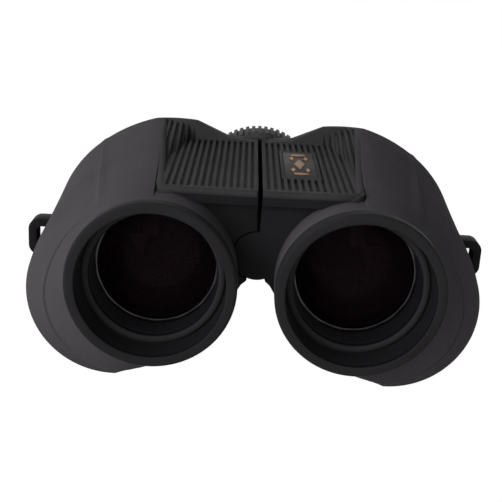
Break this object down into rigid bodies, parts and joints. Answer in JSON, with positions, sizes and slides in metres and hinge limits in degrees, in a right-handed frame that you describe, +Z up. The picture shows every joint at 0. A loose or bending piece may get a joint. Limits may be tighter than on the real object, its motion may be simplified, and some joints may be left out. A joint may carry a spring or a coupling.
{
  "type": "binoculars",
  "caption": "Compact folding binoculars with objectives set closer than the eyepieces, rubber armour, ribbed grip pads, a centre focus wheel and a diopter ring.",
  "frame": {"origin": "on the floor under the middle of the body's box", "axes": "+Z up, -Y the way the objectives look, +X the user's left half"},
  "size_m": [0.1076, 0.1056, 0.0543],
  "materials": {
    "armour_rubber": "fine matt grain, charcoal black",
    "grip_rubber": "matt, ribbed",
    "eyecup_rubber": "matt",
    "wheel_rubber": "matt, ridged",
    "housing_shell": "fine spark-eroded texture",
    "bezel_plastic": "satin",
    "ocular_plastic": "matt",
    "ring_plastic": "satin",
    "wheel_plastic": "satin",
    "black_metal": "flat black",
    "bridge_metal": "satin black",
    "ring_aluminium": "fine turned, dark anodised",
    "spring_steel": "bright strip",
    "shaft_steel": "ground",
    "screw_steel": "blackened",
    "screw_brass": "turned",
    "badge_metal": "satin copper tone, plain",
    "coated_glass": "coated, dark purple reflection",
    "lens_glass": "clear",
    "prism_glass": "polished, clear"
  },
  "bodies": {
    "left_half": {"left_armour": "armour_rubber", "left_housing": "housing_shell", "left_grip_pad": "grip_rubber", "left_strap_lug": "housing_shell", "left_prism_shelf": "black_metal", "left_front_prism": "prism_glass", "left_rear_prism": "prism_glass", "left_prism_clips": "spring_steel", "left_rear_cover": "housing_shell", "left_cover_screws": "screw_steel", "left_objective_bezel": "bezel_plastic", "left_objective_cell": "black_metal", "left_objective_lock_ring": "ring_aluminium", "left_objective_crown": "coated_glass", "left_objective_flint": "lens_glass", "badge": "badge_metal", "hinge_shaft": "shaft_steel", "hinge_washers": "shaft_steel", "shaft_end_screw": "screw_steel"},
    "right_half": {"right_armour": "armour_rubber", "right_housing": "housing_shell", "right_grip_pad": "grip_rubber", "right_strap_lug": "housing_shell", "right_prism_shelf": "black_metal", "right_front_prism": "prism_glass", "right_rear_prism": "prism_glass", "right_prism_clips": "spring_steel", "right_rear_cover": "housing_shell", "right_cover_screws": "screw_steel", "right_objective_bezel": "bezel_plastic", "right_objective_cell": "black_metal", "right_objective_lock_ring": "ring_aluminium", "right_objective_crown": "coated_glass", "right_objective_flint": "lens_glass"},
    "focus_wheel": {"focus_wheel_hub": "wheel_plastic", "focus_wheel_grip": "wheel_rubber", "focus_screw": "screw_brass"},
    "left_bridge": {"focus_nut": "screw_brass", "left_bridge_arm": "bridge_metal", "bridge_cap": "ring_plastic", "left_eyepiece_sleeve": "black_metal", "left_ocular_barrel": "ocular_plastic", "left_field_lens": "lens_glass", "left_eye_lens": "coated_glass", "left_ocular_rings": "black_metal", "left_ocular_collar": "ring_plastic"},
    "right_bridge": {"right_bridge_arm": "bridge_metal", "right_eyepiece_sleeve": "black_metal"},
    "diopter": {"diopter_ring": "ring_plastic"},
    "right_ocular": {"right_ocular_barrel": "ocular_plastic", "right_field_lens": "lens_glass", "right_eye_lens": "coated_glass", "right_ocular_rings": "black_metal"},
    "left_cup": {"left_eyecup": "eyecup_rubber"},
    "right_cup": {"right_eyecup": "eyecup_rubber"}
  },
  "joints": [
    {"name": "eye_spacing_fold", "type": "hinge", "parent": "left_half", "child": "right_half", "pos_m": [0, 0, 0.0359], "axis": [0, 1, 0], "range_deg": [-30, 2.5]},
    {"name": "focus_turn", "type": "hinge", "parent": "left_half", "child": "focus_wheel", "pos_m": [0, 0, 0.0359], "axis": [0, 1, 0], "range_deg": [-135, 315]},
    {"name": "left_focus_slide", "type": "slide", "parent": "left_half", "child": "left_bridge", "axis": [0, 1, 0], "range_m": [-0.0015, 0.0035]},
    {"name": "right_focus_slide", "type": "slide", "parent": "right_half", "child": "right_bridge", "axis": [0, 1, 0], "range_m": [-0.0015, 0.0035]},
    {"name": "diopter_turn", "type": "hinge", "parent": "right_bridge", "child": "diopter", "pos_m": [-0.0332, 0, 0.0194], "axis": [0, 1, 0], "range_deg": [-60, 60]},
    {"name": "right_ocular_slide", "type": "slide", "parent": "right_bridge", "child": "right_ocular", "axis": [0, 1, 0], "range_m": [-0.0015, 0.0015]},
    {"name": "left_eyecup_slide", "type": "slide", "parent": "left_bridge", "child": "left_cup", "axis": [0, 1, 0], "range_m": [0, 0.005]},
    {"name": "right_eyecup_slide", "type": "slide", "parent": "right_ocular", "child": "right_cup", "axis": [0, 1, 0], "range_m": [0, 0.005]}
  ],
  "couplings": [
    {"joint": "focus_turn", "follows": "left_focus_slide", "rad_per_m": 1570.8},
    {"joint": "right_focus_slide", "follows": "left_focus_slide", "ratio": 1},
    {"joint": "diopter_turn", "follows": "right_ocular_slide", "rad_per_m": 698.13}
  ]
}
